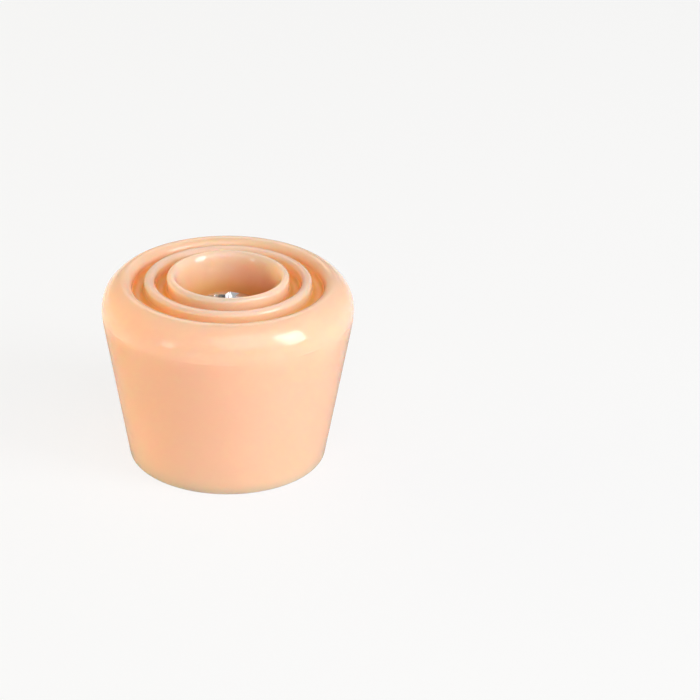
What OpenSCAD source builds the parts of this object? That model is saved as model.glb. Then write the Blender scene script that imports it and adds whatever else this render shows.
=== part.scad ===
// Bolt-on roller skate toe stop, standing on its mounting base.
// The origin is the centre of the base, and +Z runs along the axis to the ringed brake face.

/* [Stop body] */
// Widest diameter of the stop, at its shoulder
stop_d = 50; // [46:0.5:56]
// Diameter of the flat mounting base, measured where the side would meet it sharp
base_d = 39.2; // [34:0.2:44]
// Height from the mounting base to the crown of the inner ring
stop_h = 38.5; // [34:0.1:46]
// How far the widest circle lies below the crown of the inner ring
crease_drop = 7.1; // [6.6:0.1:8]
// Radius of the shoulder, from the widest circle up
shoulder_r = 6.8; // [6.5:0.1:7.5]
// Radius of the crown of the shoulder, which rolls over into the outer groove
land_round = 1.7; // [0.6:0.1:2]
// Rounding of the edge of the base
base_round = 0.6; // [0.2:0.1:2]

/* [Ringed face] */
// How far the crown of the middle ring lies below the crown of the inner ring
ring_drop = 0.85; // [0.5:0.05:1.5]
// Width of the inner ring, which rims the bore
inner_ring_w = 2.1; // [2:0.1:3]
// Width of the middle ring
middle_ring_w = 2.1; // [1.9:0.1:3]
// Width of each of the two grooves
groove_w = 2.35; // [1.6:0.05:3]
// Depth of the grooves below the crown of the middle ring
groove_depth = 3; // [2.5:0.1:6]
// Rounding of the ring edges along the grooves
ring_round = 0.9; // [0.2:0.1:0.9]

/* [Bore] */
// Height of the washer's seat above the base
seat_h = 15; // [10:0.5:20]
// Gap all round between the washer and the foot of the bore
bore_clear = 0.5; // [0.3:0.1:1]
// How much wider the bore is at its mouth than at its foot, on each side
bore_draft = 0.9; // [0.2:0.1:1.5]
// Rounding of the rim of the bore
rim_round = 1.1; // [0.4:0.1:1.2]

/* [Bolt] */
// Diameter of the shank over its thread
bolt_d = 8; // [6:0.5:10]
// Length of the shank under the head
bolt_len = 25; // [20:1:32]
// Chamfer of the tip of the shank
tip_chamfer = 0.9; // [0.3:0.1:1.5]
// Diameter of the head
head_d = 14; // [12.5:0.5:16]
// Height of the head
head_h = 5.2; // [4.4:0.1:6]
// Radius of the domed top of the head
crown_r = 13; // [11:0.5:18]
// Radius of the round between the dome and the side of the head
head_edge_r = 3.2; // [2.6:0.1:3.6]
// Height of the tip above the base, where the bolt is held by the snug hole
tip_rest_h = 3.3; // [1:0.1:8]
// Gap all round between the shank and the hole through the base
hole_clear = 0.08; // [0.03:0.01:0.3]

/* [Recess] */
// Turn of the slot about the axis, from the X axis
slot_turn = -22; // [-90:1:90]
// Width of the slot
slot_w = 1.7; // [1.2:0.1:2.2]
// Depth of the slot below the crown of the head
slot_depth = 1.2; // [0.8:0.1:2]
// Span of the cross, from wing tip to wing tip
cross_span = 7.4; // [6:0.1:8.4]
// Width of a wing of the cross
cross_w = 2; // [1.4:0.1:2.4]
// Depth of the cross below the crown of the head
cross_depth = 3.9; // [3:0.1:4.2]
// Span of the cross at its floor
cross_floor = 2.6; // [2:0.1:4]

/* [Washer] */
// How far the washer reaches past the head, all round
washer_margin = 1.5; // [0.5:0.1:2.5]
// Thickness of the washer
washer_t = 1.6; // [1:0.1:2.5]
// Gap all round between the washer and the shank
washer_clear = 0.3; // [0.1:0.05:0.5]

/* [Hidden] */

$fn = 96;
// Overlap that carries a cut clear of the face it starts from
cut = 1;

// Radii across the face, from the axis outwards
hole_r = bolt_d / 2 + hole_clear;
washer_r = head_d / 2 + washer_margin;
bore_foot_r = washer_r + bore_clear;
bore_mouth_r = bore_foot_r + bore_draft;
inner_ring_r = bore_mouth_r + inner_ring_w;
middle_ring_in_r = inner_ring_r + groove_w;
middle_ring_r = middle_ring_in_r + middle_ring_w;
land_r = middle_ring_r + groove_w;

// Heights
middle_ring_z = stop_h - ring_drop;
groove_z = middle_ring_z - groove_depth;
head_z = tip_rest_h + bolt_len;

// Shoulder arc, and the straight tapered side that meets it in a crease at the widest circle
stop_r = stop_d / 2;
base_r = base_d / 2;
shoulder_x = stop_r - shoulder_r;
shoulder_z = stop_h - crease_drop;
arc_top = shoulder_z + shoulder_r;
side_angle = atan2(stop_r - base_r, shoulder_z);
base_round_x = base_r - base_round * (1 - sin(side_angle)) / cos(side_angle);

// Rim of the bore, an arc tangent to the drafted wall and to the crown of the inner ring
draft_angle = atan2(bore_draft, stop_h - seat_h);
rim_z = stop_h - rim_round;
rim_x = bore_mouth_r - rim_round * tan(draft_angle) + rim_round / cos(draft_angle);

// Crown of the shoulder, an arc tangent to the wall of the outer groove and to the shoulder
land_x = land_r + land_round;
land_z = shoulder_z + sqrt(pow(shoulder_r - land_round, 2) - pow(land_x - shoulder_x, 2));
land_turn = atan2(land_z - shoulder_z, land_x - shoulder_x);
land_end_x = shoulder_x + shoulder_r * cos(land_turn);

// Head of the bolt, from its underside: side, edge arc and dome. The arc stands just proud of the dome, so that
// the two cross instead of grazing each other
head_r = head_d / 2;
arc_proud = 0.01;
dome_z = head_h - crown_r;
edge_x = head_r - head_edge_r;
edge_z = dome_z + sqrt(pow(crown_r - head_edge_r + arc_proud, 2) - pow(edge_x, 2));
dome_end_x = crown_r * edge_x / (crown_r - head_edge_r);

// Half section of the uncut block: base edge, tapered side, shoulder, and the face stepping up to the inner ring
module block_section() {
    side_foot = [base_round_x + base_round * cos(side_angle), base_round - base_round * sin(side_angle)];
    difference() {
        union() {
            polygon([[0, 0], [base_round_x, 0], side_foot, [stop_r, shoulder_z], [shoulder_x, arc_top], [0, arc_top]]);
            translate([base_round_x, base_round]) circle(base_round);
            translate([shoulder_x, shoulder_z]) circle(shoulder_r);
        }
        translate([0, middle_ring_z]) square([land_r, arc_top - middle_ring_z + cut]);
    }
    square([inner_ring_r, stop_h]);
}

// Cut that rounds a ring's edge at its crown: side is 1 where the ring lies outwards of the edge, -1 inwards
module edge_cut(edge, side, crown) {
    arc_x = edge + side * ring_round;
    difference() {
        translate([min(edge, arc_x), crown - ring_round]) square([ring_round, ring_round + cut]);
        translate([arc_x, crown - ring_round]) circle(ring_round);
    }
}

// Half section of one groove with a round floor, from its inner radius
module groove_section(inner) {
    half = groove_w / 2;
    translate([inner, groove_z + half]) square([groove_w, stop_h - groove_z + cut]);
    translate([inner + half, groove_z + half]) circle(half);
}

// Cut that rolls the shoulder over into the outer groove
module land_cut() {
    difference() {
        translate([land_r, land_z]) square([land_end_x - land_r, arc_top - land_z + cut]);
        translate([land_x, land_z]) circle(land_round);
    }
}

// Half section of the bore: drafted wall from the seat, opening into the rounded rim
module bore_section() {
    wall_top = [rim_x - rim_round * cos(draft_angle), rim_z + rim_round * sin(draft_angle)];
    difference() {
        polygon([[0, seat_h], [bore_foot_r, seat_h], wall_top, [rim_x, wall_top[1]],
            [rim_x, stop_h + cut], [0, stop_h + cut]]);
        translate([rim_x, rim_z]) circle(rim_round);
    }
}

// Cast polyurethane block
module stop_body() {
    color([0.98, 0.74, 0.55])
    difference() {
        rotate_extrude() difference() {
            block_section();
            groove_section(inner_ring_r);
            groove_section(middle_ring_r);
            edge_cut(inner_ring_r, -1, stop_h);
            edge_cut(middle_ring_in_r, 1, middle_ring_z);
            edge_cut(middle_ring_r, -1, middle_ring_z);
            land_cut();
            bore_section();
        }
        translate([0, 0, -cut]) cylinder(h = seat_h + 2 * cut, r = hole_r);
    }
}

// Plain washer lying on the seat
module seat_washer() {
    color([0.62, 0.61, 0.6])
    translate([0, 0, seat_h]) difference() {
        cylinder(h = washer_t, r = washer_r);
        translate([0, 0, -cut]) cylinder(h = washer_t + 2 * cut, r = bolt_d / 2 + washer_clear);
    }
}

// Half section of the pan head, from its underside
module head_section() {
    square([head_r, edge_z]);
    difference() {
        translate([edge_x, edge_z]) circle(head_edge_r);
        translate([0, -head_r]) square([head_r, head_r]);
    }
    intersection() {
        translate([0, dome_z]) circle(crown_r);
        square([dome_end_x, head_h]);
    }
}

// Half section of the shank, hanging from the underside of the head
module shank_section() {
    shank_r = bolt_d / 2;
    polygon([[0, cut], [shank_r, cut], [shank_r, tip_chamfer - bolt_len],
        [shank_r - tip_chamfer, -bolt_len], [0, -bolt_len]]);
}

// One pair of wings of the cross, tapering to the floor of the recess
module wing_pair() {
    flare = (cross_span - cross_floor) / 2 / cross_depth * cut;
    half_floor = cross_floor / 2;
    half_top = cross_span / 2 + flare;
    rotate([90, 0, 0]) linear_extrude(cross_w, center = true)
        polygon([[-half_floor, head_h - cross_depth], [half_floor, head_h - cross_depth],
            [half_top, head_h + cut], [-half_top, head_h + cut]]);
}

// Combined drive recess: a slot that runs out through the dome, and a cross in line with it
module drive_recess() {
    translate([0, 0, head_h]) cube([head_d, slot_w, 2 * slot_depth], center = true);
    for (turn = [0, 90]) rotate(turn) wing_pair();
}

// Pan-head bolt, held part of the way out of its hole
module mounting_bolt() {
    color([0.78, 0.79, 0.8])
    translate([0, 0, head_z]) difference() {
        union() {
            rotate_extrude() head_section();
            rotate_extrude() shank_section();
        }
        rotate(slot_turn) drive_recess();
    }
}

stop_body();
seat_washer();
mounting_bolt();
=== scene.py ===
import math
import bmesh
import bpy
from mathutils import Matrix, Vector, noise


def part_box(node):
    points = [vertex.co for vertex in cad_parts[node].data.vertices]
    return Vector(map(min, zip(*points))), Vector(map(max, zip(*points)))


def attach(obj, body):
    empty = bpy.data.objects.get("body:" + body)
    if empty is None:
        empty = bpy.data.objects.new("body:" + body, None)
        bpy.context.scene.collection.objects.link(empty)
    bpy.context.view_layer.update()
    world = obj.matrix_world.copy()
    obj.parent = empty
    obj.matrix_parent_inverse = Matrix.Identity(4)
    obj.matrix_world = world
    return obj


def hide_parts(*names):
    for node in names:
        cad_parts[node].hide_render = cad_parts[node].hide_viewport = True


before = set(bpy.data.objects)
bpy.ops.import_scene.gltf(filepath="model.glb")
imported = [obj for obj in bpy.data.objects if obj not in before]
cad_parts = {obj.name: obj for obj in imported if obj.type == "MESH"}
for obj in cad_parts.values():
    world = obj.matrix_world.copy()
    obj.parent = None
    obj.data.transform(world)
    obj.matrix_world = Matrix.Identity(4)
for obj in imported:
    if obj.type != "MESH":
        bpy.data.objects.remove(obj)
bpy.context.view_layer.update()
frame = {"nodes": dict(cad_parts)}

mm = 0.001
origin = (0, 0, 0)
# points closer than this are one point
mergeDistance = 0.0005 * mm
# edges that turn by more degrees than this stay sharp
sharpAngle = 40
print("frame loaded:", ", ".join(frame["nodes"]))


# drawing half sections in the XZ plane: x is the radius, z the height, both in mm

def startAt(bm, x, z):
    return bm.verts.new((x * mm, 0.0, z * mm))


def lineTo(bm, vert, x, z):
    new = bmesh.ops.extrude_vert_indiv(bm, verts=[vert])["verts"][0]
    new.co = (x * mm, 0.0, z * mm)
    return new


def arcAbout(bm, vert, x, z, degrees, steps):
    # counter-clockwise arcs are positive; seen from -Y, with x to the right and z up
    spun = bmesh.ops.spin(bm, geom=[vert], cent=(x * mm, 0.0, z * mm), axis=(0.0, -1.0, 0.0),
                          angle=math.radians(degrees), steps=steps)
    return [item for item in spun["geom_last"] if isinstance(item, bmesh.types.BMVert)][0]


def fullTurn(bm, steps):
    bmesh.ops.remove_doubles(bm, verts=bm.verts, dist=mergeDistance)
    bmesh.ops.spin(bm, geom=bm.verts[:] + bm.edges[:], cent=origin, axis=(0, 0, 1),
                   angle=math.tau, steps=steps, use_merge=True)
    bmesh.ops.remove_doubles(bm, verts=bm.verts, dist=mergeDistance)
    bmesh.ops.recalc_face_normals(bm, faces=bm.faces)


def turnAbout(bm, degrees):
    bmesh.ops.rotate(bm, verts=bm.verts, cent=origin, matrix=Matrix.Rotation(math.radians(degrees), 3, "Z"))


def radiusAndHeight(vert):
    return math.hypot(vert.co.x, vert.co.y) / mm, vert.co.z / mm


def markSharp(bm, degrees):
    limit = math.radians(degrees)
    for face in bm.faces:
        face.smooth = True
    for edge in bm.edges:
        edge.smooth = edge.calc_face_angle(0.0) < limit


def pieceFrom(bm, name):
    markSharp(bm, sharpAngle)
    mesh = bpy.data.meshes.new(name)
    bm.to_mesh(mesh)
    bm.free()
    piece = bpy.data.objects.new(name, mesh)
    bpy.context.collection.objects.link(piece)
    return piece


def dress(piece, body, node, material):
    piece.data.materials.clear()
    piece.data.materials.append(material)
    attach(piece, body)
    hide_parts(node)


# shader helpers

noiseMiddle = (0.3, 0.7)


def newMaterial(name):
    material = bpy.data.materials.new(name)
    material.use_nodes = True
    return material, material.node_tree.nodes, material.node_tree.links


def addNode(nodes, kind, **values):
    node = nodes.new(kind)
    for key, value in values.items():
        setattr(node, key, value)
    return node


def feed(links, socket, given):
    # given is another node's socket or a plain value
    if isinstance(given, bpy.types.NodeSocket):
        links.new(given, socket)
    else:
        socket.default_value = given


def mixOf(nodes, links, kind, factor, first, second):
    node = addNode(nodes, "ShaderNodeMix", data_type=kind)
    for label, given in (("Factor", factor), ("A", first), ("B", second)):
        feed(links, node.inputs[label], given)
    return node.outputs["Result"]


def mathOf(nodes, links, operation, first, second):
    node = addNode(nodes, "ShaderNodeMath", operation=operation)
    feed(links, node.inputs[0], first)
    feed(links, node.inputs[1], second)
    return node.outputs["Value"]


def smoothRange(nodes, links, source, start, end, low, high):
    # runs smoothly from low to high while the source goes from start to end
    node = addNode(nodes, "ShaderNodeMapRange", interpolation_type="SMOOTHSTEP")
    for label, value in (("From Min", start), ("From Max", end), ("To Min", low), ("To Max", high)):
        node.inputs[label].default_value = value
    links.new(source, node.inputs["Value"])
    return node.outputs["Result"]


def spread(nodes, links, source, low, high):
    # stretches the middle of a noise onto low to high
    node = addNode(nodes, "ShaderNodeMapRange", clamp=True)
    node.inputs["From Min"].default_value, node.inputs["From Max"].default_value = noiseMiddle
    node.inputs["To Min"].default_value, node.inputs["To Max"].default_value = low, high
    links.new(source, node.inputs["Value"])
    return node.outputs["Result"]


def bumpFrom(nodes, links, source, distance):
    node = addNode(nodes, "ShaderNodeBump")
    node.inputs["Strength"].default_value = 1.0
    node.inputs["Distance"].default_value = distance
    links.new(source, node.inputs["Height"])
    return node.outputs["Normal"]


def surfaceVariation():
    # slow cloudiness and fine grain, both about 0.5, shared by every finish
    group = bpy.data.node_groups.new("surfaceVariation", "ShaderNodeTree")
    for label in ("Cloud Size", "Grain Size"):
        group.interface.new_socket(label, in_out="INPUT", socket_type="NodeSocketFloat")
    for label in ("Cloud", "Grain"):
        group.interface.new_socket(label, in_out="OUTPUT", socket_type="NodeSocketFloat")
    nodes, links = group.nodes, group.links
    entry = addNode(nodes, "NodeGroupInput")
    leave = addNode(nodes, "NodeGroupOutput")
    place = addNode(nodes, "ShaderNodeTexCoord")
    for label, detail in (("Cloud", 3.0), ("Grain", 2.0)):
        pattern = addNode(nodes, "ShaderNodeTexNoise", noise_dimensions="3D")
        pattern.inputs["Detail"].default_value = detail
        links.new(place.outputs["Object"], pattern.inputs["Vector"])
        links.new(entry.outputs[label + " Size"], pattern.inputs["Scale"])
        links.new(pattern.outputs["Fac"], leave.inputs[label])
    return group


variation = surfaceVariation()


def placeVariation(nodes, values):
    node = addNode(nodes, "ShaderNodeGroup", node_tree=variation)
    node.inputs["Cloud Size"].default_value = values["cloudSize"]
    node.inputs["Grain Size"].default_value = values["grainSize"]
    return node.outputs["Cloud"], node.outputs["Grain"]


# cast polyurethane: glossy, and light soaks a few millimetres into it

polyurethane = {
    "paleColor": (0.955, 0.57, 0.395, 1.0),
    "deepColor": (0.935, 0.55, 0.375, 1.0),
    # painted glow and shade: a richer orange in the grooves, and a darker, richer orange deep in the bore
    "paintedGrooveGlow": (0.999, 0.61, 0.16, 1.0),
    "paintedBoreShade": (0.998, 0.49, 0.15, 1.0),
    # painted sheen: a paler colour on the crowns of the rings and on the bead
    "paintedCrestSheen": (0.998, 0.545, 0.43, 1.0),
    "cloudSize": 45.0,
    "grainSize": 700.0,
    "soakDepth": 9.0 * mm,
    "soakRadius": (1.0, 0.5, 0.27),
    "roughness": (0.11, 0.16),
    "hollowRoughness": 0.5,
    "peelDepth": 0.012 * mm,
    "refraction": 1.55,
}


def polyurethaneFinish():
    p = polyurethane
    material, nodes, links = newMaterial("castPolyurethane")
    shader = nodes["Principled BSDF"]
    cloud, grain = placeVariation(nodes, p)
    hollow = addNode(nodes, "ShaderNodeAttribute", attribute_name="hollow").outputs["Fac"]
    bore = addNode(nodes, "ShaderNodeAttribute", attribute_name="bore").outputs["Fac"]
    crest = mathOf(nodes, links, "MULTIPLY", hollow, -1.0)
    # painted glow and shade: the colour is richer down in the grooves and the bore, standing in for light
    # soaked through the block and for shade deep in it; a painted sheen makes it paler on the crowns of the
    # rings and on the bead
    mottle = spread(nodes, links, cloud, 0.0, 1.0)
    color = mixOf(nodes, links, "RGBA", mottle, p["paleColor"], p["deepColor"])
    for share, name in ((hollow, "paintedGrooveGlow"), (bore, "paintedBoreShade"), (crest, "paintedCrestSheen")):
        color = mixOf(nodes, links, "RGBA", share, color, p[name])
    links.new(color, shader.inputs["Base Color"])
    # the surface is duller down in the grooves
    roughness = spread(nodes, links, cloud, *p["roughness"])
    duller = mixOf(nodes, links, "FLOAT", hollow, roughness, p["hollowRoughness"])
    links.new(duller, shader.inputs["Roughness"])
    links.new(bumpFrom(nodes, links, grain, p["peelDepth"]), shader.inputs["Normal"])
    shader.subsurface_method = "RANDOM_WALK"
    shader.inputs["Subsurface Weight"].default_value = 1.0
    shader.inputs["Subsurface Radius"].default_value = p["soakRadius"]
    shader.inputs["Subsurface Scale"].default_value = p["soakDepth"]
    shader.inputs["IOR"].default_value = p["refraction"]
    return material


# the two metals: bright zinc plate on the bolt, and rolled steel with turned marks on the washer

zincPlate = {
    "colors": ((0.80, 0.81, 0.82, 1.0), (0.62, 0.63, 0.65, 1.0)),
    "cloudSize": 260.0,
    "grainSize": 2600.0,
    "roughness": (0.10, 0.22),
    "grainDepth": 0.006 * mm,
}

washerSteel = {
    "colors": ((0.50, 0.49, 0.48, 1.0), (0.36, 0.33, 0.30, 1.0)),
    "cloudSize": 300.0,
    "grainSize": 2200.0,
    "roughness": (0.28, 0.46),
    "ringSize": 5200.0,
    "ringWobble": 1.5,
    "ringDepth": 0.004 * mm,
}


def metalFinish(name, values):
    material, nodes, links = newMaterial(name)
    shader = nodes["Principled BSDF"]
    cloud, grain = placeVariation(nodes, values)
    color = mixOf(nodes, links, "RGBA", spread(nodes, links, cloud, 0.0, 1.0), *values["colors"])
    links.new(color, shader.inputs["Base Color"])
    links.new(spread(nodes, links, cloud, *values["roughness"]), shader.inputs["Roughness"])
    shader.inputs["Metallic"].default_value = 1.0
    return material, nodes, links, grain


def zincFinish():
    material, nodes, links, grain = metalFinish("brightZinc", zincPlate)
    bump = bumpFrom(nodes, links, grain, zincPlate["grainDepth"])
    links.new(bump, nodes["Principled BSDF"].inputs["Normal"])
    return material


def washerFinish():
    material, nodes, links, _ = metalFinish("rolledSteel", washerSteel)
    place = addNode(nodes, "ShaderNodeTexCoord")
    rings = addNode(nodes, "ShaderNodeTexWave", wave_type="RINGS", rings_direction="Z")
    rings.inputs["Scale"].default_value = washerSteel["ringSize"]
    rings.inputs["Distortion"].default_value = washerSteel["ringWobble"]
    links.new(place.outputs["Object"], rings.inputs["Vector"])
    bump = bumpFrom(nodes, links, rings.outputs["Fac"], washerSteel["ringDepth"])
    links.new(bump, nodes["Principled BSDF"].inputs["Normal"])
    return material


# the cast block: one closed half section, turned once round the axis

stop = {
    "height": 38.5,
    "baseDiameter": 39.2,
    "baseRound": 0.6,
    "baseSteps": 8,
    "sideSteps": 12,
    "easeRadius": 26.0,
    "easeEnd": 6.0,
    "easeSteps": 72,
    "widestDrop": 7.1,
    "shoulderRadius": 6.8,
    "shoulderSteps": 44,
    "landRound": 1.7,
    "partingDrop": 0.55,
    "partingHalf": 0.2,
    "partingHeight": 0.1,
    "partingBreaks": 106.0,
    "partingShare": 0.1,
    "partingSwing": 1.8,
    "ringDrop": 0.85,
    "innerRing": 2.1,
    "middleRing": 2.1,
    "ringRound": 0.9,
    "roundSteps": 10,
    "groove": 2.35,
    "grooveDepth": 3.0,
    "grooveSteps": 16,
    "seatHeight": 15.0,
    "boreFoot": 9.0,
    "boreDraft": 0.9,
    "rimRound": 1.35,
    "rimDrop": 4.2,
    "rimSteps": 16,
    "wallSteps": 24,
    "holeRadius": 4.08,
    "holeRound": 0.3,
    "holeSteps": 6,
    "hollowStart": 1.6,
    "hollowGroove": 1.3,
    "hollowBore": 8.5,
    "hollowMargin": 0.3,
    "crestDrop": 1.1,
    "turnSteps": 256,
}


def smoothShare(share):
    share = min(1.0, max(0.0, share))
    return share * share * (3.0 - 2.0 * share)


def easeCurve(taper, roll):
    # from the straight side to the shoulder's arc, bending little at first, so that no line shows between
    steps = stop["easeSteps"]
    bend = (math.radians(stop["easeEnd"]) + taper) / steps
    outward, upward = 0.0, 0.0
    points = [(outward, upward)]
    for part in range(steps):
        done = (part + 0.5) / steps
        length = bend * (roll + (stop["easeRadius"] - roll) * (1 - done) ** 2)
        facing = bend * (part + 0.5) - taper
        outward -= length * math.sin(facing)
        upward += length * math.cos(facing)
        points.append((outward, upward))
    return points


def raiseBead(bm, hollow, inner, beadZ):
    # fine bead where the halves of the mould part, which comes and goes round the block
    s = stop
    for vert in bm.verts:
        radius, z = radiusAndHeight(vert)
        across = (z - beadZ) / s["partingHalf"]
        if radius > inner and abs(across) < 1.0:
            share = s["partingShare"] + s["partingSwing"] * noise.noise(vert.co * s["partingBreaks"])
            share = min(1.0, max(0.0, share)) * math.cos(math.pi / 2 * across)
            vert.co.xy *= 1.0 + share * s["partingHeight"] / radius
            # the bead takes the paler painted sheen of the crowns, a painted glint
            vert[hollow] = -share


def makeStop(material):
    s = stop
    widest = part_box("stop_body")[1][0] / mm
    top = s["height"]
    middleTop = top - s["ringDrop"]
    shoulderZ = top - s["widestDrop"]
    baseRadius = s["baseDiameter"] / 2
    taper = math.atan2(widest - baseRadius, shoulderZ)
    rounding, half = s["ringRound"], s["groove"] / 2
    grooveZ = middleTop - s["grooveDepth"] + half
    mouth = s["boreFoot"] + s["boreDraft"]
    innerRing = mouth + s["innerRing"]
    middleIn = innerRing + s["groove"]
    middleOut = middleIn + s["middleRing"]
    land = middleOut + s["groove"]

    bm = bmesh.new()
    # base and its edge
    cornerX = baseRadius - s["baseRound"] * (1 - math.sin(taper)) / math.cos(taper)
    at = startAt(bm, s["holeRadius"], s["holeRound"])
    at = arcAbout(bm, at, s["holeRadius"] + s["holeRound"], s["holeRound"], 90, s["holeSteps"])
    at = lineTo(bm, at, cornerX, 0)
    at = arcAbout(bm, at, cornerX, s["baseRound"], 90 - math.degrees(taper), s["baseSteps"])
    # tapered side, which eases into the shoulder
    roll = s["shoulderRadius"] * math.cos(taper)
    easeEnd = math.radians(s["easeEnd"])
    eased = easeCurve(taper, roll)
    sideFoot = at.co.z / mm
    sideTop = shoulderZ + roll * math.sin(easeEnd) - eased[-1][1]
    sideX = widest - (shoulderZ - sideTop) * math.tan(taper)
    for part in range(1, s["sideSteps"]):
        z = sideFoot + (sideTop - sideFoot) * part / s["sideSteps"]
        at = lineTo(bm, at, widest - (shoulderZ - z) * math.tan(taper), z)
    for outward, upward in eased:
        at = lineTo(bm, at, sideX + outward, sideTop + upward)
    # shoulder, and the crown where it rolls over into the outer groove
    shoulderX = sideX + eased[-1][0] - roll * math.cos(easeEnd)
    edgeX = land + s["landRound"]
    edgeZ = shoulderZ + math.sqrt((roll - s["landRound"]) ** 2 - (edgeX - shoulderX) ** 2)
    turn = math.degrees(math.atan2(edgeZ - shoulderZ, edgeX - shoulderX))
    at = arcAbout(bm, at, shoulderX, shoulderZ, turn - s["easeEnd"], s["shoulderSteps"])
    at = arcAbout(bm, at, edgeX, edgeZ, 180 - turn, s["roundSteps"])
    # two grooves, with a ring inside each
    for outer, inner, last, crown in ((land, middleOut, middleIn, middleTop),
                                      (middleIn, innerRing, None, top)):
        at = lineTo(bm, at, outer, grooveZ)
        at = arcAbout(bm, at, outer - half, grooveZ, -180, s["grooveSteps"])
        at = lineTo(bm, at, inner, crown - rounding)
        at = arcAbout(bm, at, inner - rounding, crown - rounding, 90, s["roundSteps"])
        if last:
            at = lineTo(bm, at, last + rounding, crown)
            at = arcAbout(bm, at, last + rounding, crown - rounding, 90, s["roundSteps"])
    # soft rim that flares into the drafted bore, then the seat and the hole
    draft = math.atan2(s["boreDraft"], top - s["seatHeight"])
    wallTop = top - s["rimDrop"]
    wallX = s["boreFoot"] + (wallTop - s["seatHeight"]) * math.tan(draft)
    for part in range(s["rimSteps"] + 1):
        sweep = math.radians(90 * part / s["rimSteps"])
        x = wallX + s["rimRound"] * (1 - math.sin(sweep))
        at = lineTo(bm, at, x, wallTop + s["rimDrop"] * math.cos(sweep))
    for part in range(1, s["wallSteps"] + 1):
        z = wallTop + (s["seatHeight"] - wallTop) * part / s["wallSteps"]
        at = lineTo(bm, at, s["boreFoot"] + (z - s["seatHeight"]) * math.tan(draft), z)
    at = lineTo(bm, at, s["holeRadius"], s["seatHeight"])
    lineTo(bm, at, s["holeRadius"], s["holeRound"])
    fullTurn(bm, s["turnSteps"])

    # for the painted glow and shade in the grooves and the bore, and the painted sheen on the bead and the
    # crowns: how deep each point lies in a groove or the bore, and below 0 on the bead and the crowns
    hollow = bm.verts.layers.float.new("hollow")
    raiseBead(bm, hollow, land, shoulderZ - s["partingDrop"])
    bore = bm.verts.layers.float.new("bore")
    for vert in bm.verts:
        radius, z = radiusAndHeight(vert)
        if radius < mouth + s["rimRound"] and z > s["baseRound"]:
            vert[bore] = smoothShare((top - s["hollowStart"] - z) / s["hollowBore"])
        elif radius < land + s["landRound"] and z > middleTop - s["grooveDepth"] - s["hollowMargin"]:
            vert[hollow] = smoothShare((middleTop - s["hollowStart"] - z) / s["hollowGroove"])
        # the crowns of the rings get the paler painted sheen
        if radius < middleOut + s["hollowMargin"] and z > middleTop - s["crestDrop"]:
            vert[hollow] = max(-1.0, (middleTop - s["crestDrop"] - z) / s["crestDrop"])
    piece = pieceFrom(bm, "castBlock")
    dress(piece, "stop", "stop_body", material)
    print("cast block:", len(piece.data.polygons), "faces")


# the washer: a flat ring, rolled over along its upper edges and sheared along its lower ones

washer = {
    "holeRadius": 4.3,
    "rolledEdge": 0.35,
    "rolledSteps": 6,
    "shearedEdge": 0.12,
    "shearedSteps": 3,
    "turnSteps": 128,
}


def makeWasher(material):
    w = washer
    low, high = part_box("seat_washer")
    inner, outer = w["holeRadius"], high[0] / mm
    bottom, top = low[2] / mm, high[2] / mm
    rolled, sheared = w["rolledEdge"], w["shearedEdge"]
    bm = bmesh.new()
    at = startAt(bm, inner, bottom + sheared)
    at = arcAbout(bm, at, inner + sheared, bottom + sheared, 90, w["shearedSteps"])
    at = lineTo(bm, at, outer - sheared, bottom)
    at = arcAbout(bm, at, outer - sheared, bottom + sheared, 90, w["shearedSteps"])
    at = lineTo(bm, at, outer, top - rolled)
    at = arcAbout(bm, at, outer - rolled, top - rolled, 90, w["rolledSteps"])
    at = lineTo(bm, at, inner + rolled, top)
    at = arcAbout(bm, at, inner + rolled, top - rolled, 90, w["rolledSteps"])
    lineTo(bm, at, inner, bottom + sheared)
    fullTurn(bm, w["turnSteps"])
    piece = pieceFrom(bm, "flatWasher")
    dress(piece, "washer", "seat_washer", material)
    print("washer:", len(piece.data.polygons), "faces")


# the bolt: pan head with slot and cross, and a rolled thread

bolt = {
    "length": 25.0,
    "pitch": 1.25,
    "rootShare": 1 / 4,
    "flankShare": 5 / 16,
    "crestShare": 1 / 8,
    "crestRadius": 3.98,
    "rootRadius": 3.25,
    "neckRadius": 3.7,
    "neckLength": 1.0,
    "tipChamfer": 0.9,
    "stepsPerTurn": 72,
    "threadMerge": 0.002,
    "threadTrim": 0.0001,
    "threadOverlap": 0.2,
    "headHeight": 5.2,
    "crownRadius": 13.0,
    "crownSteps": 22,
    "edgeRadius": 3.2,
    "edgeSteps": 18,
    "footRound": 0.3,
    "footSteps": 4,
    "headSteps": 144,
    "slotTurn": -22.0,
    "slotLength": 20.0,
    "slotWidth": 1.7,
    "slotDepth": 1.2,
    "slotAbove": 2.0,
    "crossSpan": 7.4,
    "crossFloor": 2.6,
    "crossWidth": 2.0,
    "crossDepth": 3.9,
    "crossAbove": 1.0,
    "recessRound": 0.12,
    "recessSteps": 2,
    "sharpAngle": 12,
}


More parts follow.
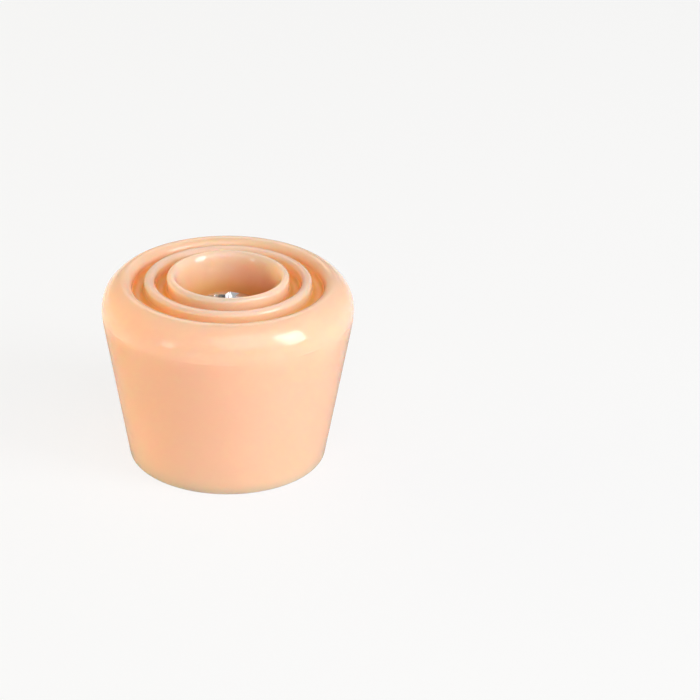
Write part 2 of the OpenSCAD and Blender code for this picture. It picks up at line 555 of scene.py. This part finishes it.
def threadMesh(tipZ, underHead):
    b = bolt
    pitch, root, crest = b["pitch"], b["rootRadius"], b["crestRadius"]
    flank = pitch * b["flankShare"]
    bm = bmesh.new()
    z = tipZ - pitch
    at = startAt(bm, root, z)
    for radius, rise in ((root, pitch * b["rootShare"]), (crest, flank),
                         (crest, pitch * b["crestShare"]), (root, flank)):
        z += rise
        at = lineTo(bm, at, radius, z)
    # one turn more at each end, which is cut off level
    turns = math.ceil(b["length"] / pitch) + 2
    bmesh.ops.spin(bm, geom=bm.verts[:] + bm.edges[:], cent=origin, axis=(0, 0, 1),
                   dvec=(0, 0, pitch * mm / b["stepsPerTurn"]),
                   angle=math.tau * turns, steps=b["stepsPerTurn"] * turns)
    bmesh.ops.remove_doubles(bm, verts=bm.verts, dist=b["threadMerge"] * mm)
    for height, outward in ((tipZ, -1), (underHead, 1)):
        bmesh.ops.bisect_plane(bm, geom=bm.verts[:] + bm.edges[:] + bm.faces[:], dist=b["threadTrim"] * mm,
                               plane_co=(0, 0, height * mm), plane_no=(0, 0, outward), clear_outer=True)
    # the tip is chamfered and the thread runs out in a plain neck below the head
    for vert in bm.verts:
        radius = math.hypot(vert.co.x, vert.co.y)
        fromTip, fromHead = vert.co.z / mm - tipZ, underHead - vert.co.z / mm
        limit = crest - max(0.0, b["tipChamfer"] - fromTip)
        if fromHead < b["neckLength"]:
            limit = b["neckRadius"]
        if fromHead < b["neckLength"] or radius > limit * mm:
            vert.co.xy = vert.co.xy * (limit * mm / radius)
    bmesh.ops.holes_fill(bm, edges=[edge for edge in bm.edges if edge.is_boundary], sides=0)
    bmesh.ops.recalc_face_normals(bm, faces=bm.faces)
    return bm


def headMesh(underHead):
    b = bolt
    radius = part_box("mounting_bolt")[1][0] / mm
    domeZ = b["headHeight"] - b["crownRadius"]
    edgeX = radius - b["edgeRadius"]
    edgeZ = domeZ + math.sqrt((b["crownRadius"] - b["edgeRadius"]) ** 2 - edgeX ** 2)
    turn = math.degrees(math.atan2(edgeZ - domeZ, edgeX))
    foot = b["footRound"]
    bm = bmesh.new()
    at = startAt(bm, 0, underHead)
    at = lineTo(bm, at, radius - foot, underHead)
    at = arcAbout(bm, at, radius - foot, underHead + foot, 90, b["footSteps"])
    at = lineTo(bm, at, radius, underHead + edgeZ)
    at = arcAbout(bm, at, edgeX, underHead + edgeZ, turn, b["edgeSteps"])
    arcAbout(bm, at, 0, underHead + domeZ, 90 - turn, b["crownSteps"])
    fullTurn(bm, b["headSteps"])
    return bm


def blockAt(crown, length, width, depth, above):
    # a block from depth below the crown of the head to a little above it
    bm = bmesh.new()
    bmesh.ops.create_cube(bm, size=mm, matrix=Matrix.Diagonal((length, width, depth + above, 1.0)))
    bmesh.ops.translate(bm, verts=bm.verts, vec=(0, 0, (crown + (above - depth) / 2) * mm))
    return bm


def slotMesh(crown):
    # it runs out through the dome on both sides
    b = bolt
    bm = blockAt(crown, b["slotLength"], b["slotWidth"], b["slotDepth"], b["slotAbove"])
    turnAbout(bm, b["slotTurn"])
    return bm


def wingMesh(crown, turn):
    # a pair of wings of the cross, tapering to its floor
    b = bolt
    slope = (b["crossSpan"] - b["crossFloor"]) / b["crossDepth"]
    bm = blockAt(crown, 1.0, b["crossWidth"], b["crossDepth"], b["crossAbove"])
    for vert in bm.verts:
        upper = vert.co.z > crown * mm
        vert.co.x *= b["crossSpan"] + slope * b["crossAbove"] if upper else b["crossFloor"]
    bmesh.ops.bevel(bm, geom=bm.edges[:], offset=b["recessRound"] * mm, offset_type="OFFSET",
                    segments=b["recessSteps"], profile=0.5, affect="EDGES", material=-1, clamp_overlap=True)
    turnAbout(bm, b["slotTurn"] + turn)
    return bm


def cutOrJoin(piece, tool, operation):
    change = piece.modifiers.new("change", "BOOLEAN")
    change.operation = operation
    change.solver = "EXACT"
    change.object = tool
    bpy.context.view_layer.update()
    changed = bpy.data.meshes.new_from_object(piece.evaluated_get(bpy.context.evaluated_depsgraph_get()))
    piece.modifiers.clear()
    old = piece.data
    piece.data = changed
    bpy.data.meshes.remove(old)
    bpy.data.objects.remove(tool)


def makeBolt(material):
    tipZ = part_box("mounting_bolt")[0][2] / mm
    underHead = tipZ + bolt["length"]
    crown = underHead + bolt["headHeight"]
    piece = pieceFrom(headMesh(underHead), "panHeadBolt")
    thread = threadMesh(tipZ, underHead + bolt["threadOverlap"])
    cutOrJoin(piece, pieceFrom(thread, "thread"), "UNION")
    cutOrJoin(piece, pieceFrom(slotMesh(crown), "slot"), "DIFFERENCE")
    for turn in (0, 90):
        cutOrJoin(piece, pieceFrom(wingMesh(crown, turn), "wing"), "DIFFERENCE")
    bm = bmesh.new()
    bm.from_mesh(piece.data)
    bmesh.ops.remove_doubles(bm, verts=bm.verts, dist=mergeDistance)
    markSharp(bm, bolt["sharpAngle"])
    bm.to_mesh(piece.data)
    bm.free()
    piece.data.name = "panHeadBolt"
    dress(piece, "bolt", "mounting_bolt", material)
    print("bolt:", len(piece.data.polygons), "faces")


# floor, light and camera

white = (1.0, 1.0, 1.0)

studio = {
    "backgroundLevel": 0.93,
    "floorColor": (0.86, 0.86, 0.86, 1.0),
    "floorRoughness": 0.9,
    "floorGlow": 0.98,
    "floorRadius": 4.0,
    "floorSides": 96,
    "shadowShare": 0.18,
    "floorMirror": (0.03, 0.42),
    "floorFar": (0.055, 0.085),
    "floorFade": (-0.05, -0.01),
    "floorFadeAlong": (0.8, 0.6, 0.0),
    "roomMirror": (0.45, 0.5),
    "roomMirrorAlong": (0.0, 1.0, 0.0),
    "ambient": (0.09, 0.18),
    "ambientAlong": (0.0, 0.0, 1.0),
    "bounces": 16,
    "lampDistance": 1.0,
    "lampAim": 20.0,
    "softboxes": (
        # name, degrees right of the camera, degrees up, width, height, watts, colour, use
        ("keyRight", 62.0, 26.0, 0.40, 0.62, 6.4, white, "both"),
        ("sideLeft", -108.0, 8.5, 1.40, 0.30, 10.1, (1.0, 0.88, 0.50), "light"),
        ("frontLeft", -53.0, 10.0, 0.22, 0.32, 0.76, white, "both"),
        ("topFront", 20.0, 42.0, 1.00, 0.80, 4.1, white, "both"),
        ("overhead", 0.0, 82.0, 1.40, 1.40, 1.3, white, "light"),
        ("fillLow", 50.0, 8.0, 1.40, 0.70, 1.9, white, "light"),
        ("backCard", 180.0, 46.0, 0.60, 0.64, 2.0, white, "mirrors"),
    ),
}


def directShare(nodes, links, cameraShare, mirrorShare):
    # cameraShare for camera rays, mirrorShare for mirror and glass rays, 0 for the light on a matt surface
    rays = addNode(nodes, "ShaderNodeLightPath").outputs
    mirror = mathOf(nodes, links, "MAXIMUM", rays["Is Glossy Ray"], rays["Is Transmission Ray"])
    toCamera = mathOf(nodes, links, "MULTIPLY", rays["Is Camera Ray"], cameraShare)
    toMirror = mathOf(nodes, links, "MULTIPLY", mirror, mirrorShare)
    return mathOf(nodes, links, "MAXIMUM", toCamera, toMirror)


def alongLine(nodes, links, coordinates, direction, reach, levels):
    # a level that changes along a direction, between the two ends of its reach
    place = addNode(nodes, "ShaderNodeTexCoord")
    along = addNode(nodes, "ShaderNodeVectorMath", operation="DOT_PRODUCT")
    links.new(place.outputs[coordinates], along.inputs[0])
    along.inputs[1].default_value = direction
    return smoothRange(nodes, links, along.outputs["Value"], *reach, *levels)


def makeFloor():
    material, nodes, links = newMaterial("paleFloor")
    shader = nodes["Principled BSDF"]
    shader.inputs["Base Color"].default_value = studio["floorColor"]
    shader.inputs["Roughness"].default_value = studio["floorRoughness"]
    shader.inputs["Specular IOR Level"].default_value = 0.0
    # mirrored, the floor is brighter on the side of the key light, and white away from the object's shade
    near = alongLine(nodes, links, "Object", studio["floorFadeAlong"],
                     studio["floorFade"], studio["floorMirror"])
    place = addNode(nodes, "ShaderNodeTexCoord")
    away = addNode(nodes, "ShaderNodeVectorMath", operation="LENGTH")
    links.new(place.outputs["Object"], away.inputs[0])
    far = smoothRange(nodes, links, away.outputs["Value"], *studio["floorFar"], 0.0, 1.0)
    mirrored = mixOf(nodes, links, "FLOAT", far, near, studio["floorGlow"])
    rays = addNode(nodes, "ShaderNodeLightPath").outputs
    level = mixOf(nodes, links, "FLOAT", rays["Is Camera Ray"], mirrored, studio["floorGlow"])
    glow = addNode(nodes, "ShaderNodeEmission")
    links.new(level, glow.inputs["Strength"])
    mix = addNode(nodes, "ShaderNodeMixShader")
    links.new(directShare(nodes, links, 1.0 - studio["shadowShare"], 1.0), mix.inputs["Fac"])
    links.new(shader.outputs["BSDF"], mix.inputs[1])
    links.new(glow.outputs["Emission"], mix.inputs[2])
    links.new(mix.outputs["Shader"], nodes["Material Output"].inputs["Surface"])
    bm = bmesh.new()
    bmesh.ops.create_circle(bm, cap_ends=True, segments=studio["floorSides"], radius=studio["floorRadius"])
    floor = pieceFrom(bm, "paleFloor")
    floor.data.materials.append(material)


def makeWorld():
    world = bpy.data.worlds.new("paleRoom")
    bpy.context.scene.world = world
    world.use_nodes = True
    nodes, links = world.node_tree.nodes, world.node_tree.links
    background = nodes["Background"]
    background.inputs["Color"].default_value = (*white, 1.0)
    # the ceiling gives more light than the walls, and the mirrored room is brighter behind the object
    wholeRoom = (-1.0, 1.0)
    mirrored = alongLine(nodes, links, "Generated", studio["roomMirrorAlong"],
                         wholeRoom, studio["roomMirror"])
    ambient = alongLine(nodes, links, "Generated", studio["ambientAlong"],
                        wholeRoom, studio["ambient"])
    seen = directShare(nodes, links, 1.0, mirrored)
    strength = mixOf(nodes, links, "FLOAT", seen, ambient, studio["backgroundLevel"])
    links.new(strength, background.inputs["Strength"])


def makeSoftboxes():
    middle = Vector((0.0, 0.0, studio["lampAim"] * mm))
    for name, right, up, width, height, watts, color, use in studio["softboxes"]:
        lamp = bpy.data.lights.new(name, "AREA")
        lamp.shape = "RECTANGLE"
        lamp.size, lamp.size_y = width, height
        lamp.energy = watts
        lamp.color = color
        holder = bpy.data.objects.new(name, lamp)
        bpy.context.collection.objects.link(holder)
        holder.visible_glossy = use != "light"
        holder.visible_diffuse = use != "mirrors"
        across, rise = math.radians(right), math.radians(up)
        level = math.cos(rise)
        toward = Vector((math.sin(across) * level, -math.cos(across) * level, math.sin(rise)))
        holder.location = middle + toward * studio["lampDistance"]
        holder.rotation_euler = toward.to_track_quat("Z", "Y").to_euler()


# the camera stands where the photograph was taken from: the base centre falls on basePixel
view = {
    "distance": 517.9,
    "elevation": 28.48,
    "focalPixels": 2558.7,
    "imagePixels": 700.0,
    "basePixel": (228.02, 447.46),
    "roll": -0.126,
    "sensorWidth": 36.0,
    "nearest": 10.0,
}


def makeCamera():
    v = view
    centre = v["imagePixels"] / 2
    right, down = v["basePixel"][0] - centre, v["basePixel"][1] - centre
    pan = math.atan2(right, v["focalPixels"])
    tilt = math.atan2(down, math.hypot(v["focalPixels"], right))
    rise = math.radians(v["elevation"])
    camera = bpy.data.cameras.new("photoCamera")
    camera.sensor_width = v["sensorWidth"]
    camera.lens = v["focalPixels"] / v["imagePixels"] * camera.sensor_width
    camera.clip_start = v["nearest"] * mm
    holder = bpy.data.objects.new("photoCamera", camera)
    bpy.context.collection.objects.link(holder)
    holder.location = Vector((0.0, -math.cos(rise), math.sin(rise))) * v["distance"] * mm
    holder.rotation_mode = "ZYX"
    holder.rotation_euler = (math.pi / 2 - rise + tilt, pan, math.radians(-v["roll"]))
    bpy.context.scene.camera = holder


makeCamera()
makeFloor()
makeWorld()
makeSoftboxes()
print("stage, light and camera are set")

makeStop(polyurethaneFinish())
makeWasher(washerFinish())
makeBolt(zincFinish())

bpy.context.scene.view_settings.view_transform = "Standard"
# light has to pass through the block many times to reach the grooves
bpy.context.scene.cycles.max_bounces = studio["bounces"]
bpy.context.scene.cycles.diffuse_bounces = studio["bounces"]
